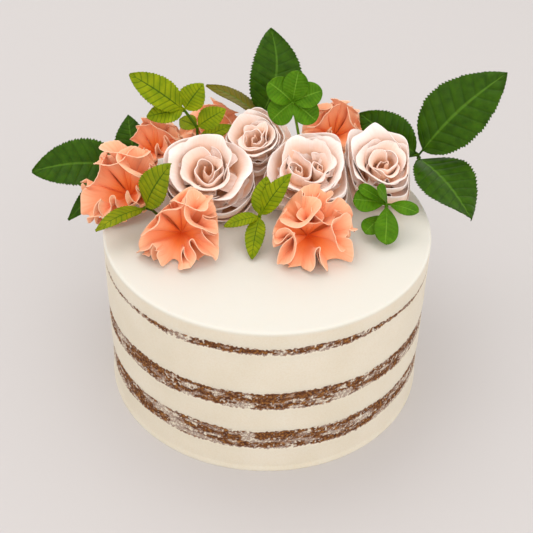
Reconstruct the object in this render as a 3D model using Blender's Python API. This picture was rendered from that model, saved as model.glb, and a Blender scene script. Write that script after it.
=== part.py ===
"""A naked layer cake with four blush roses, six ruffled coral blooms and leaf sprigs on its top.

Sizes in the constants are millimetres and the meshes are in metres. +Z is up, the front of the cake
is -Y, and the origin is the middle of the underside. A height with "above the top" in its comment is
counted from the top of the cake.
"""
import bpy
import bmesh
import math
import numpy as np

MM = 0.001

# Cake
CAKE_RADIUS = 101.6
CAKE_HEIGHT = 113.3
FOOT_HEIGHT = 1.6
FOOT_PROUD = 0.7
TOP_EDGE_ROUND = 1.6
SPONGE_RECESS = 0.5
SIDES_ROUND = 44
CLEARANCE = 0.3
EDGE_WANDER = 0.7
TOP_BAND_PINCH = 1.8

# Heights at which each layer ends, from the bottom up
LAYER_TOPS = (
    ("cream_base", 18.0),
    ("sponge_bottom", 35.6),
    ("cream_lower", 51.8),
    ("sponge_middle", 67.5),
    ("cream_upper", 95.0),
    ("sponge_top", 102.9),
    ("cream_top", CAKE_HEIGHT),
)

# Petals and leaves
PETAL_THICKNESS = 1.3
RUFFLE_THICKNESS = 1.4
LEAF_THICKNESS = 1.1
STALK_PART = 0.06
STALK_HALF_WIDTH = 0.9
STEM_RADIUS = 1.0
STEM_SIDES = 4
LEAF_MARGIN = 1.6
PETAL_OPENNESS = (0.62, 0.72, 0.84, 0.94, 1.04)
ROSE_FULLNESS = 1.06
FULLER_OUTSIDE = 0.2
ROSE_SEAT = 0.52
BLOOM_SEAT = 0.22
TURN_JITTER = 0.2
SIZE_JITTER = 0.04
ROSE_SHARE = 1.15
SCROLL_TURNS = 1.7
GOLDEN_TURN = math.radians(137.5)
CELL_SOFTNESS = 0.16
CREASE_SHARPNESS = 1.4
UNEVEN_LOBES = 0.15

# A ruffled sheet: size as a part of the flower's reach, then in degrees the angle of its cone from
# the axis, how much it flares and how deep its folds are, and how far its creases close
CROWN = (1.02, 38, 6, 22, 0.1)
SKIRT = (1.0, 74, 6, 14, 0.2)

ROSE_TRIANGLES = 1200
BLOOM_TRIANGLES = 24
LEAFLET_TRIANGLES = 82

# Name, centre (x, y, height above the top), reach, tilt to the front, lean to the right, first turn,
# and how open the flower is
ROSES = (
    ("rose_front_left", (-38, 22, 20), 39, 30, -3, 115, 1.0),
    ("rose_back", (-8, 50, 26), 32, 24, -10, 60, 0.75),
    ("rose_centre", (24, 26, 20), 37, 28, 2, 156, 0.95),
    ("rose_right", (72, 33, 20), 35, 26, 6, 262, 0.92),
)

# Name, centre, reach, tilt to the front, lean to the right, turn, lobes of the crown
BLOOMS = (
    ("coral_left", (-88, 13, 15), 33, 16, -14, 40, 4),
    ("coral_back_left", (-74, 50, 22), 23, 4, -10, 65, 3),
    ("coral_back", (-38, 80, 18), 22, -6, 4, 10, 3),
    ("coral_front_left", (-52, -24, 13), 32, 30, -6, 85, 4),
    ("coral_back_right", (43, 76, 21), 25, 0, 6, 150, 3),
    ("coral_front_right", (25, -23, 13), 37, 30, 6, 200, 4),
)

# Leaf outlines: how fast the blade widens at its base and narrows at its tip
OVATE = (0.62, 0.86)
LANCE = (0.75, 1.1)
SPOON = (1.1, 0.5)
ROUND = (0.6, 0.5)

# Sprigs. Stem: points from where it stands to its end, as (x, y, height above the top).
# Leaflets: the stem point it grows from, tip, width, outline, the way its upper face looks,
# and how far its midrib bows to its right, as a part of its length
FRONT = (0.0, -0.62, 0.78)
SPRIGS = {
    "leaf_left": {
        "stem": ((-80, 66, 1.2), (-86, 54, 6), (-90, 44, 9)),
        "leaflets": (
            (2, (-149, 27, 17), 35, OVATE, (0.1, -0.55, 0.8), 0.05),
            (2, (-127, 13, -10), 19, LANCE, (-0.3, -0.5, 0.8), 0.0),
            (1, (-93, 72, 32), 24, OVATE, (-0.4, -0.6, 0.6), 0.0),
        ),
    },
    "leaf_back": {
        "stem": ((-10, 92, 1.2), (-8, 86, 16), (-6, 81, 28)),
        "leaflets": (
            (2, (-1, 117, 74), 35, OVATE, (0.0, -0.8, 0.6), 0.12),
            (2, (-42, 88, 47), 19, LANCE, (0.1, 0.0, 1.0), 0.0),
        ),
    },
    "leaf_right": {
        "stem": ((72, 66, 1.2), (84, 62, 10), (96, 51, 20)),
        "leaflets": (
            (2, (147, 64, 74), 42, OVATE, (-0.2, -0.7, 0.7), -0.03),
            (2, (128, 8, 2), 46, OVATE, (0.5, -0.5, 0.7), 0.0),
            (2, (58, 74, 36), 30, OVATE, (0.1, -0.95, 0.3), 0.0),
        ),
    },
    "sprig_back_left": {
        "stem": ((-50, 58, 1.2), (-46, 52, 26), (-46, 48, 39), (-54, 50, 50)),
        "leaflets": (
            (3, (-87, 53, 73), 21, OVATE, FRONT, 0.0),
            (3, (-42, 55, 66), 18, OVATE, FRONT, 0.0),
            (3, (-77, 44, 48), 16, OVATE, FRONT, 0.0),
            (2, (-28, 52, 50), 15, OVATE, FRONT, 0.0),
            (2, (-58, 58, 38), 12, OVATE, FRONT, 0.0),
            (1, (-24, 64, 31), 10, OVATE, FRONT, 0.0),
        ),
    },
    "sprig_front_left": {
        "stem": ((-68, 4, 1.2), (-71, -1, 9), (-75, -7, 15)),
        "leaflets": (
            (2, (-58, -10, 49), 22, OVATE, (-0.5, -0.7, 0.5), 0.0),
            (2, (-101, -33, 17), 15, LANCE, (-0.3, -0.3, 0.9), 0.0),
        ),
    },
    "sprig_front": {
        "stem": ((-6, -6, 1.2), (-6, -9, 8), (-5, -13, 15)),
        "leaflets": (
            (2, (-1, -3, 37), 14, OVATE, FRONT, 0.0),
            (2, (13, -8, 43), 14, OVATE, (-0.5, -0.7, 0.5), 0.0),
            (2, (-9, -38, 2), 13, OVATE, (-0.2, -0.4, 0.9), 0.0),
            (2, (-26, -21, 13), 10, OVATE, (0, -0.3, 0.9), 0.0),
        ),
    },
    "sprig_front_right": {
        "stem": ((70, -2, 1.2), (72, 1, 8), (73, 3, 15)),
        "leaflets": (
            (2, (52, -3, 22), 15, SPOON, FRONT, 0.0),
            (2, (55, 1, 29), 8, SPOON, FRONT, 0.0),
            (2, (66, -3, 32), 9, SPOON, (0.6, -0.5, 0.6), 0.0),
            (2, (90, -12, 20), 10, SPOON, (-0.3, -0.3, 0.9), 0.0),
            (2, (71, -24, 5), 15, SPOON, (0.1, -0.6, 0.8), 0.0),
            (1, (59, -16, 7), 12, SPOON, (-0.2, -0.6, 0.8), 0.0),
        ),
    },
    "sprig_round": {
        "stem": ((16, 58, 1.2), (19, 56, 28), (14, 56, 54)),
        "leaflets": (
            (2, (-1, 57, 67), 18, ROUND, FRONT, 0.0),
            (2, (17, 61, 73), 16, ROUND, FRONT, 0.0),
            (2, (32, 57, 62), 17, ROUND, FRONT, 0.0),
            (2, (1, 50, 44), 18, ROUND, FRONT, 0.0),
            (2, (29, 49, 45), 17, ROUND, FRONT, 0.0),
        ),
    },
}


def smooth(values):
    """Ease from 0 to 1 with flat ends, for values clipped to that range."""
    part = np.clip(values, 0.0, 1.0)
    return part * part * (3.0 - 2.0 * part)


def unit(vector):
    """The vector at length one."""
    vector = np.asarray(vector, float)
    return vector / np.linalg.norm(vector)


def grid_faces(rows, columns, start, flip, wrapped):
    """Triangles of a grid of points. Both sides of a skin are split along the same diagonal."""
    faces = []
    steps = columns if wrapped else columns - 1
    for row in range(rows - 1):
        for column in range(steps):
            after = (column + 1) % columns
            a = start + row * columns + column
            b = start + row * columns + after
            c = start + (row + 1) * columns + after
            d = start + (row + 1) * columns + column
            for face in ((a, b, c), (a, c, d)):
                faces.append(face[::-1] if flip else face)
    return faces


def grid_normals(points, wrapped):
    """Unit normals of a grid: the cross product of its two directions."""
    if wrapped:
        around = np.roll(points, -1, axis=1) - np.roll(points, 1, axis=1)
    else:
        around = np.gradient(points, axis=1)
    along = np.gradient(points, axis=0)
    normals = np.cross(around, along)
    return normals / np.maximum(np.linalg.norm(normals, axis=2, keepdims=True), 1e-9)


def skin(points, thickness, wrapped=False):
    """Give a sheet of points its thickness: two faces and a strip round the edge, closed all over.

    A wrapped sheet joins its last column to its first and gets a cap over the hole at its first row.
    """
    rows, columns = points.shape[:2]
    count = rows * columns
    normals = grid_normals(points, wrapped)
    thick = np.broadcast_to(np.asarray(thickness, float), (rows, columns))[:, :, None]
    front = (points + normals * thick / 2).reshape(-1, 3)
    back = (points - normals * thick / 2).reshape(-1, 3)
    faces = grid_faces(rows, columns, 0, False, wrapped)
    faces += grid_faces(rows, columns, count, True, wrapped)
    parts = [front, back]
    last = (rows - 1) * columns
    edge = [last + column for column in range(columns)]
    if wrapped:
        parts.append(np.array([front[:columns].mean(axis=0), back[:columns].mean(axis=0)]))
        for column in range(columns):
            after = (column + 1) % columns
            faces.append((2 * count, after, column))
            faces.append((2 * count + 1, count + column, count + after))
    else:
        edge += [row * columns + columns - 1 for row in range(rows - 2, -1, -1)]
        edge += [column for column in range(columns - 2, -1, -1)]
        edge += [row * columns for row in range(1, rows - 1)]
    for place, a in enumerate(edge):
        b = edge[(place + 1) % len(edge)]
        faces.append((a, b, b + count))
        faces.append((a, b + count, a + count))
    return np.concatenate(parts), faces


def tube(route, radius, sides):
    """A round rod along a route of points, with flat ends."""
    route = np.asarray(route, float)
    directions = np.gradient(route, axis=0)
    points = []
    for centre, direction in zip(route, directions):
        direction = unit(direction)
        side = unit(np.cross(direction, (0.31, 0.95, 0.0)))
        other = np.cross(direction, side)
        for step in range(sides):
            turn = 2 * math.pi * step / sides
            points.append(centre + radius * (math.cos(turn) * side + math.sin(turn) * other))
    faces = grid_faces(len(route), sides, 0, False, True)
    last = (len(route) - 1) * sides
    for step in range(1, sides - 1):
        faces.append((0, step + 1, step))
        faces.append((last, last + step, last + step + 1))
    return np.array(points), faces


def ball(centre, radii, rows, columns):
    """A closed egg form about a centre."""
    points = [np.array([0.0, 0.0, -radii[2]])]
    for row in range(1, rows):
        tilt = math.pi * row / rows
        for column in range(columns):
            turn = 2 * math.pi * column / columns
            points.append(np.array([
                radii[0] * math.sin(tilt) * math.cos(turn),
                radii[1] * math.sin(tilt) * math.sin(turn),
                -radii[2] * math.cos(tilt),
            ]))
    points.append(np.array([0.0, 0.0, radii[2]]))
    top = len(points) - 1
    faces = grid_faces(rows - 1, columns, 1, False, True)
    for column in range(columns):
        after = (column + 1) % columns
        faces.append((0, 1 + after, 1 + column))
        faces.append((top, top - columns + column, top - columns + after))
    return np.array(points) + np.asarray(centre, float), faces


def make_material(name, colour, roughness):
    """A plain Principled material in the piece's own colour."""
    material = bpy.data.materials.new(name)
    material.use_nodes = True
    shader = material.node_tree.nodes["Principled BSDF"]
    shader.inputs["Base Color"].default_value = (*colour, 1.0)
    shader.inputs["Roughness"].default_value = roughness
    material.diffuse_color = (*colour, 1.0)
    return material


def make_object(name, points, faces, collection=None):
    """A mesh object from points in millimetres, with its faces pointing out."""
    mesh = bpy.data.meshes.new(name)
    mesh.from_pydata([tuple(point) for point in np.asarray(points) * MM], [], faces)
    work = bmesh.new()
    work.from_mesh(mesh)
    bmesh.ops.recalc_face_normals(work, faces=work.faces)
    work.to_mesh(mesh)
    work.free()
    made = bpy.data.objects.new(name, mesh)
    (collection or bpy.context.scene.collection).objects.link(made)
    return made


def finish(made, material, sharp=40.0):
    """Smooth the round faces and put the material on."""
    made.data.shade_smooth()
    made.data.set_sharp_from_angle(angle=math.radians(sharp))
    made.data.materials.clear()
    made.data.materials.append(material)
    return made


def islands(work):
    """The separate shells of a mesh, as lists of faces."""
    left = set(work.faces)
    groups = []
    while left:
        group = [left.pop()]
        for face in group:
            for edge in face.edges:
                for other in edge.link_faces:
                    if other in left:
                        left.remove(other)
                        group.append(other)
        groups.append(group)
    return groups


def fuse(name, pieces, material, triangles):
    """Join closed pieces into one solid: a union on a collection, then its outermost shell alone.

    Shells left inside are sealed hollows, which this fills, and loose scraps are dropped. The seams
    of the union leave many slivers, which are thinned out down to a number of triangles.
    """
    helpers = bpy.data.collections.new(name + "_pieces")
    bpy.context.scene.collection.children.link(helpers)
    for number, (points, faces) in enumerate(pieces[1:]):
        make_object(f"{name}_piece_{number}", points, faces, helpers)
    first = make_object(name, *pieces[0])
    if pieces[1:]:
        union = first.modifiers.new("union", "BOOLEAN")
        union.operation = "UNION"
        union.operand_type = "COLLECTION"
        union.collection = helpers
        union.solver = "MANIFOLD"
    ready = first.evaluated_get(bpy.context.evaluated_depsgraph_get())
    mesh = bpy.data.meshes.new_from_object(ready)
    first.modifiers.clear()
    first.data = mesh
    for helper in list(helpers.objects):
        bpy.data.objects.remove(helper)
    bpy.data.collections.remove(helpers)
    work = bmesh.new()
    work.from_mesh(mesh)
    groups = islands(work)
    groups.sort(key=len)
    for group in groups[:-1]:
        bmesh.ops.delete(work, geom=group, context="FACES")
    bmesh.ops.triangulate(work, faces=work.faces)
    work.to_mesh(mesh)
    work.free()
    thin = first.modifiers.new("thin_slivers", "DECIMATE")
    thin.ratio = min(1.0, triangles / len(mesh.polygons))
    thin.use_collapse_triangulate = True
    return finish(first, material)


def layer_edge(height, turn):
    """Height of the line between two layers at a turn round the cake: it wanders a little.

    The line under the topmost sponge rises, and the one over it sinks, to the left and right.
    """
    if height <= 0.0 or height >= CAKE_HEIGHT:
        return height
    wander = 0.6 * math.sin(7 * turn + height) + 0.4 * math.sin(12 * turn + 2.3 * height)
    pinch = 0.0
    if height == LAYER_TOPS[4][1]:
        pinch = TOP_BAND_PINCH * math.cos(turn) ** 2
    if height == LAYER_TOPS[5][1]:
        pinch = -TOP_BAND_PINCH * math.cos(turn) ** 2
    return height + EDGE_WANDER * wander + pinch


def layer_profile(name, low, high, turn):
    """Radius and height of the points down the side of one layer, from its lower edge up."""
    ripple = 0.15 * math.sin(5 * turn + low)
    if name.startswith("sponge"):
        middle = 0.5 * (low + high)
        crumb = 0.25 * math.sin(9 * turn + high)
        return [
            (CAKE_RADIUS - SPONGE_RECESS, low),
            (CAKE_RADIUS - 1.6 * SPONGE_RECESS + crumb, middle),
            (CAKE_RADIUS - SPONGE_RECESS, high),
        ]
    wall = CAKE_RADIUS - 0.15 + ripple
    if name == "cream_base":
        return [
            (CAKE_RADIUS + FOOT_PROUD, low),
            (CAKE_RADIUS + FOOT_PROUD, low + FOOT_HEIGHT),
            (wall, low + 2 * FOOT_HEIGHT),
            (wall, high),
        ]
    if name == "cream_top":
        return [
            (wall, low),
            (wall, high - TOP_EDGE_ROUND),
            (wall - 0.3 * TOP_EDGE_ROUND, high - 0.3 * TOP_EDGE_ROUND),
            (wall - TOP_EDGE_ROUND, high),
        ]
    return [(wall, low), (wall, high)]


def build_layer(name, low, high, material):
    """One layer of the cake: a disc whose side and edges are a little uneven."""
    rings = []
    for step in range(SIDES_ROUND):
        turn = 2 * math.pi * step / SIDES_ROUND
        bottom = layer_edge(low, turn) + (CLEARANCE if low > 0.0 else 0.0)
        top = layer_edge(high, turn)
        rings.append([
            (radius * math.cos(turn), radius * math.sin(turn), height)
            for radius, height in layer_profile(name, bottom, top, turn)
        ])
    points = np.array(rings).transpose(1, 0, 2)
    rows = points.shape[0]
    faces = grid_faces(rows, SIDES_ROUND, 0, False, True)
    flat = points.reshape(-1, 3)
    bottom_middle = (0.0, 0.0, low + (CLEARANCE if low > 0.0 else 0.0))
    flat = np.concatenate([flat, [bottom_middle, (0.0, 0.0, high)]])
    start = (rows - 1) * SIDES_ROUND
    for step in range(SIDES_ROUND):
        after = (step + 1) % SIDES_ROUND
        faces.append((len(flat) - 2, after, step))
        faces.append((len(flat) - 1, start + step, start + after))
    return finish(make_object(name, flat, faces), material)


def above_top(points):
    """World millimetres of points whose heights are counted from the top of the cake."""
    return np.asarray(points, float) + (0.0, 0.0, CAKE_HEIGHT)


def leaf_surface(sprig, leaflet, rows, columns):
    """Points of a leaflet's blade.

    The half width grows as a power of the way from the base and shrinks as a power of the way to
    the tip. The blade is folded up from its midrib, arched along it and waved at its edges, and its
    midrib bows sideways as half a sine wave.
    """
    joint, tip, width, outline, face, bow = leaflet
    base = above_top(sprig["stem"][joint])
    reach = above_top(tip) - base
    length = np.linalg.norm(reach)
    along = reach / length
    up = unit(np.asarray(face, float) - along * np.dot(face, along))
    side = np.cross(along, up)
    way = np.linspace(0.0, 1.0, rows)[:, None]
    across = np.linspace(-1.0, 1.0, columns)[None, :]
    grow, shrink = outline
    widest = grow / (grow + shrink)
    blade = np.clip((way - STALK_PART) / (1.0 - STALK_PART), 0.0, 1.0)
    shape = (blade / widest) ** grow * ((1 - blade) / (1 - widest)) ** shrink
    half = np.maximum(0.5 * width * shape, STALK_HALF_WIDTH * (1.0 - 0.6 * way))
    lateral = half * across + bow * length * np.sin(math.pi * way)
    fold = 0.16 * half * np.abs(across)
    arch = 0.07 * length * (np.sin(math.pi * way) - 0.3)
    wave = 0.05 * width * np.sin(2.2 * math.pi * way + 1.3 * across) * across ** 2
    rise = fold + arch + wave
    flat = np.ones_like(lateral)
    return (
        base
        + (way * length * flat)[:, :, None] * along
        + lateral[:, :, None] * side
        + (rise * flat)[:, :, None] * up
    )


def build_sprig(name, sprig, material):
    """One sprig or compound leaf: leaflets and their stalks fused to a thin stem."""
    pieces = [tube(above_top(sprig["stem"]), STEM_RADIUS, STEM_SIDES)]
    for leaflet in sprig["leaflets"]:
        surface = leaf_surface(sprig, leaflet, 8 if leaflet[2] > 20 else 5, 3)
        pieces.append(skin(surface, LEAF_THICKNESS))
    return fuse(name, pieces, material, LEAFLET_TRIANGLES * len(pieces))


def flower_places():
    """Centre of every flower, and the reach that it claims: a rose presses its neighbours back."""
    places = {row[0]: (above_top(row[1]), row[2]) for row in BLOOMS}
    places.update({row[0]: (above_top(row[1]), ROSE_SHARE * row[2]) for row in ROSES})
    return places


def flower_cell(name):
    """The room that a flower has: the planes that part it from its neighbours, leaves and cake.

    Each plane is a direction from the flower's centre and a distance. Neighbours share the way
    between their centres by their reach. A leaflet or stem is parted off at its nearest point.
    """
    places = flower_places()
    centre, reach = places[name]
    planes = [(np.array([0.0, 0.0, -1.0]), centre[2] - CAKE_HEIGHT - CLEARANCE)]
    for other, (place, size) in places.items():
        if other == name:
            continue
        gap = place - centre
        distance = np.linalg.norm(gap)
        planes.append((gap / distance, distance * reach / (reach + size) - 0.5 * CLEARANCE))
    for sprig in SPRIGS.values():
        route = above_top(sprig["stem"])
        fine = np.concatenate([
            a + (b - a) * np.linspace(0, 1, 12)[:, None] for a, b in zip(route[:-1], route[1:])
        ])
        obstacles = [fine]
        for leaflet in sprig["leaflets"]:
            obstacles.append(leaf_surface(sprig, leaflet, 25, 9).reshape(-1, 3))
        for obstacle in obstacles:
            offsets = obstacle - centre
            distances = np.linalg.norm(offsets, axis=1)
            nearest = int(np.argmin(distances))
            distance = distances[nearest]
            if distance < reach + 6.0:
                planes.append((offsets[nearest] / distance, distance - LEAF_MARGIN))
    return centre, planes


def fit_in_cell(points, cell):
    """Draw points in towards the centre of the cell, so that a sheet through them stays inside it.

    How far out a point lies is the largest ratio of its distance along a plane's direction to the
    plane's own distance. Up to a start that ratio is kept, and above it it nears 1 as a hyperbola.
    """
    centre, planes = cell
    offsets = points - centre
    skins = 0.5 * RUFFLE_THICKNESS
    ratios = np.stack([offsets @ way / (distance - skins) for way, distance in planes])
    ratio = ratios.max(axis=0)
    start = 1.0 - CELL_SOFTNESS
    beyond = np.maximum(ratio - start, 0.0)
    fitted = np.where(ratio > start, 1.0 - CELL_SOFTNESS ** 2 / (beyond + CELL_SOFTNESS), ratio)
    scale = np.where(ratio > start, fitted / np.maximum(ratio, 1e-9), 1.0)
    return centre + offsets * scale[..., None]


def flower_turn(tilt, lean, turn):
    """Rotation of a flower: round its own axis, then towards the front, then to the right."""
    tilt, lean, turn = (math.radians(angle) for angle in (tilt, lean, turn))
    about_axis = np.array([
        [math.cos(turn), -math.sin(turn), 0.0],
        [math.sin(turn), math.cos(turn), 0.0],
        [0.0, 0.0, 1.0],
    ])
    to_front = np.array([
        [1.0, 0.0, 0.0],
        [0.0, math.cos(tilt), -math.sin(tilt)],
        [0.0, math.sin(tilt), math.cos(tilt)],
    ])
    to_right = np.array([
        [math.cos(lean), 0.0, math.sin(lean)],
        [0.0, 1.0, 0.0],
        [-math.sin(lean), 0.0, math.cos(lean)],
    ])
    return to_right @ to_front @ about_axis


def rose_petal(size, openness, turn, rows, columns):
    """Points of one rose petal about the flower's axis, which is +Z with the base at 0.

    The petal's centre line leaves the base outwards, turns up to an angle set by how open the petal
    is, and curls out at its rim. Its radius and height are the running sums of the sine and cosine
    of that angle. The petal is wrapped round the axis, one side a little further out than the other.
    """
    length = size * (0.98 + 0.16 * openness)
    breadth = size * (0.60 + 0.22 * openness)
    rise_angle = math.radians(-7.0 + 56.0 * openness)
    curl_angle = math.radians(18.0 + 14.0 * openness)
    fine = np.linspace(0.0, 1.0, 81)
    angle = rise_angle + (math.radians(82.0) - rise_angle) * np.exp(-9.0 * fine)
    angle = angle + curl_angle * smooth((fine - 0.66) / 0.34)
    step = fine[1]
    out = np.concatenate([[0.0], np.cumsum(np.sin(angle)[1:]) * step])
    up = np.concatenate([[0.0], np.cumsum(np.cos(angle)[1:]) * step])
    way = np.linspace(0.16, 1.0, rows)[:, None]
    across = np.linspace(-1.0, 1.0, columns)[None, :]
    reach = way * (1.0 - 0.24 * np.abs(across) ** 2.6 + 0.02 * (1 - across ** 2) ** 3)
    radius = size * (0.03 + 0.10 * openness) + length * np.interp(reach, fine, out)
    height = length * np.interp(reach, fine, up)
    wide = breadth * (0.12 + 0.88 * np.sin(0.5 * math.pi * np.minimum(1.0, 1.25 * way)))
    wrap = np.minimum(wide / np.maximum(radius, 0.16 * size), math.radians(100.0))
    radius = radius * (1.0 + 0.10 * (1.0 - 0.8 * openness) * across)
    around = turn + wrap * across
    return np.stack([radius * np.cos(around), radius * np.sin(around), height], axis=2)


def rose_scroll(size, rows, columns):
    """Points of the rolled heart of a rose: one sheet wound round the axis, wider at each turn.

    Its radius grows evenly with the turn, bulges at half height and opens again at the rim.
    """
    way = np.linspace(0.0, 1.0, rows)[:, None]
    wound = np.linspace(0.0, 1.0, columns)[None, :]
    around = 2 * math.pi * SCROLL_TURNS * wound
    belly = 0.75 + 0.35 * np.sin(math.pi * way) + 0.22 * smooth((way - 0.7) / 0.3)
    radius = size * (0.09 + 0.24 * wound) * belly
    height = size * (0.25 + (0.66 - 0.10 * wound) * way)
    return np.stack([radius * np.cos(around), radius * np.sin(around), height], axis=2)


def build_rose(row, material):
    """One rose: a rolled heart with petals set round it at the golden angle, opening outwards."""
    name, middle, reach, tilt, lean, first, opening = row
    cell = flower_cell(name)
    rotation = flower_turn(tilt, lean, first)
    base = cell[0] - rotation @ np.array([0.0, 0.0, ROSE_SEAT * reach])
    heart, heart_faces = ball((0, 0, 0.26 * reach), (0.30 * reach,) * 3, 4, 8)
    pieces = [(fit_in_cell(heart @ rotation.T + base, cell), heart_faces)]
    sheets = [rose_scroll(reach, 4, 17)]
    for number, openness in enumerate(PETAL_OPENNESS):
        turn = GOLDEN_TURN * number + TURN_JITTER * math.sin(2.3 * number + first)
        size = (ROSE_FULLNESS + FULLER_OUTSIDE * openness) * reach
        size = size * (1.0 + SIZE_JITTER * math.sin(4.1 * number + 0.7 * first))
        sheets.append(rose_petal(size, opening * openness, turn, 5, 8))
    for sheet in sheets:
        pieces.append(skin(fit_in_cell(sheet @ rotation.T + base, cell), PETAL_THICKNESS))
    return fuse(name, pieces, material, ROSE_TRIANGLES)


def ruffle_sheet(reach, form, lobes, phase, rows, columns):
    """Points of one ruffled sheet about the flower's axis, closed on itself from a pinch at 0.

    A point's polar angle is that of a cone that flares towards the rim, plus folds that deepen
    towards the rim: broad lobes with narrow creases between them, uneven round the flower. The
    walls of a crease are drawn together, and the rim is drawn out where a lobe points outwards.
    """
    share, cone, flare, depth, closing = form
    cone, flare, depth = (math.radians(angle) for angle in (cone, flare, depth))
    way = np.linspace(0.16, 1.0, rows)[:, None]
    turn = (2 * math.pi * np.arange(columns) / columns)[None, :]
    grown = way ** 1.3
    wave = lobes * turn + 0.8 * np.sin(turn + 2.0 * phase) + phase
    fold = 1.0 - 2.0 * (0.5 - 0.5 * np.cos(wave)) ** CREASE_SHARPNESS
    uneven = 1.0 + UNEVEN_LOBES * np.sin(turn + 3.1 * phase)
    polar = cone + flare * way ** 1.6 + depth * grown * fold * uneven
    around = turn + closing * grown * np.sin(wave) / lobes
    out = share * reach * way * (1.0 + 0.10 * fold * grown)
    return np.stack([
        out * np.sin(polar) * np.cos(around),
        out * np.sin(polar) * np.sin(around),
        out * np.cos(polar),
    ], axis=2)


def build_bloom(row, material):
    """One ruffled bloom: a folded crown and a wavy skirt that start from one pinched core."""
    name, middle, reach, tilt, lean, turn, lobes = row
    cell = flower_cell(name)
    rotation = flower_turn(tilt, lean, turn)
    base = cell[0] - rotation @ np.array([0.0, 0.0, BLOOM_SEAT * reach])
    crown = ruffle_sheet(reach, CROWN, lobes, 0.4, 4, 10 * lobes)
    skirt = ruffle_sheet(reach, SKIRT, lobes + 2, 1.6, 3, 7 * (lobes + 2))
    pieces = [
        ball((0, 0, 0), (0.2 * reach, 0.2 * reach, 0.25 * reach), 3, 6),
        skin(crown, RUFFLE_THICKNESS, wrapped=True),
        skin(skirt, RUFFLE_THICKNESS, wrapped=True),
    ]
    placed = [(fit_in_cell(points @ rotation.T + base, cell), faces) for points, faces in pieces]
    return fuse(name, placed, material, int(BLOOM_TRIANGLES * reach))


def main():
    for old in list(bpy.data.objects):
        bpy.data.objects.remove(old)
    cream = make_material("buttercream", (0.86, 0.80, 0.66), 0.45)
    sponge = make_material("chocolate_sponge", (0.16, 0.07, 0.025), 0.9)
    blush = make_material("rose_petal", (0.90, 0.76, 0.70), 0.55)
    coral = make_material("coral_petal", (0.90, 0.36, 0.20), 0.55)
    dark_leaf = make_material("dark_leaf", (0.03, 0.10, 0.01), 0.4)
    light_leaf = make_material("light_leaf", (0.20, 0.32, 0.02), 0.5)
    low = 0.0
    for name, high in LAYER_TOPS:
        build_layer(name, low, high, sponge if name.startswith("sponge") else cream)
        low = high
    for row in ROSES:
        build_rose(row, blush)
    for row in BLOOMS:
        build_bloom(row, coral)
    for name, sprig in SPRIGS.items():
        build_sprig(name, sprig, dark_leaf if name.startswith("leaf") else light_leaf)


main()
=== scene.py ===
# %% [markdown]
# # A naked layer cake with flowers
# This lesson dresses a plain CAD model of a chocolate layer cake. The model gives each piece its
# place and its name. Here each piece is made again at full detail: the scraped cream sides, the
# bands of sponge that show through, four roses, six ruffled blooms, and the leaves between them.
# Every shape is a function of two parameters, worked out with numpy as whole arrays.

import math

import bmesh
import bpy
import mathutils
import numpy as np
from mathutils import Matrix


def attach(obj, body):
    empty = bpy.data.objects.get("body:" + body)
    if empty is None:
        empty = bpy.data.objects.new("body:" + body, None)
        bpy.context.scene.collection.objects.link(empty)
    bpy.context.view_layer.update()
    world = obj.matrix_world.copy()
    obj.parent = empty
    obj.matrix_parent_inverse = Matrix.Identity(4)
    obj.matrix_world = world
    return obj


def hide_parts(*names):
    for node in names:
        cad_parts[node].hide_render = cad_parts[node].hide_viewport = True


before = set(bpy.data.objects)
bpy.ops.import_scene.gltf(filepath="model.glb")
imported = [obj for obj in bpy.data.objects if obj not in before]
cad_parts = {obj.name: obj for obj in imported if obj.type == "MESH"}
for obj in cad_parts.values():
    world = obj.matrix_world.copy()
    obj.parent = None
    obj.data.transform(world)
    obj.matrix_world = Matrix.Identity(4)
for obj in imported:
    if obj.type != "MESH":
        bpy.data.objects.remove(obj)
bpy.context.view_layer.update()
print("nodes in the frame:", len(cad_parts))

# %% [markdown]
# ## Sizes
# The cake is a common eight inch one, so its radius is 101.6 mm. Sizes here are millimetres, and
# meshes are put down in metres. +Z is up, the front is -Y, and the middle of the underside is the
# origin. These are the same named values that the CAD source uses, so the pieces fit one another.

# %% Sizes of the cake and its layers
MM = 0.001
CAKE_RADIUS = 101.6
CAKE_HEIGHT = 113.3
WALL_INSET = 0.15
FOOT_HEIGHT = 1.6
FOOT_PROUD = 0.7
TOP_EDGE_ROUND = 1.6
SPONGE_RECESS = 0.55
EDGE_WANDER = 0.7
TOP_BAND_PINCH = 1.8
COLUMNS_ROUND = 1200

# Heights at which each layer ends, from the bottom up
LAYER_TOPS = (
    ("cream_base", 18.0),
    ("sponge_bottom", 35.6),
    ("cream_lower", 51.8),
    ("sponge_middle", 67.5),
    ("cream_upper", 95.0),
    ("sponge_top", 102.9),
    ("cream_top", CAKE_HEIGHT),
)
print("layers:", ", ".join(name for name, height in LAYER_TOPS))

# %% [markdown]
# ## Where the flowers and leaves are
# Each flower has a centre, a reach and a lean, and each leaf has a stem and leaflets with their
# tips. Heights are counted from the top of the cake. Keeping them in tables means that a flower can
# be moved by changing one row.

# %% Places of the flowers and leaves
# Name, centre, reach, tilt to the front, lean to the right, first turn, how open
ROSES = (
    ("rose_front_left", (-38, 22, 20), 39, 30, -3, 115, 1.0),
    ("rose_back", (-8, 50, 26), 32, 24, -10, 60, 0.75),
    ("rose_centre", (24, 26, 20), 37, 28, 2, 156, 0.95),
    ("rose_right", (72, 33, 20), 35, 26, 6, 262, 0.92),
)

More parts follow.
